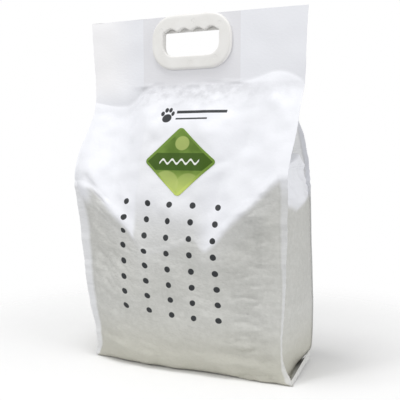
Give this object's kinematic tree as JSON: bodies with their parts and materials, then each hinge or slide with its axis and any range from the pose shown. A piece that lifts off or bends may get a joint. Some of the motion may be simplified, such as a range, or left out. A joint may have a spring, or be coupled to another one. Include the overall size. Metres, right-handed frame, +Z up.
{
  "type": "cat litter bag",
  "caption": "Filled side-gusset film bag standing on its base, with a sealed header, corner fins, a clip-on carrying handle and a diamond label.",
  "frame": {"origin": "middle of the base, on the surface the bag stands on", "axes": "+Z up, the printed front panel faces -Y, +X to the right of someone facing the front"},
  "size_m": [0.272, 0.124, 0.398],
  "materials": {
    "bag_film": "matt white printed film, softly creased",
    "handle_plastic": "warm white moulded plastic, satin",
    "label_film": "green printed label, satin"
  },
  "bodies": {
    "root": {"bag": "bag_film", "handle_front": "handle_plastic", "handle_back": "handle_plastic", "label": "label_film"}
  },
  "joints": []
}
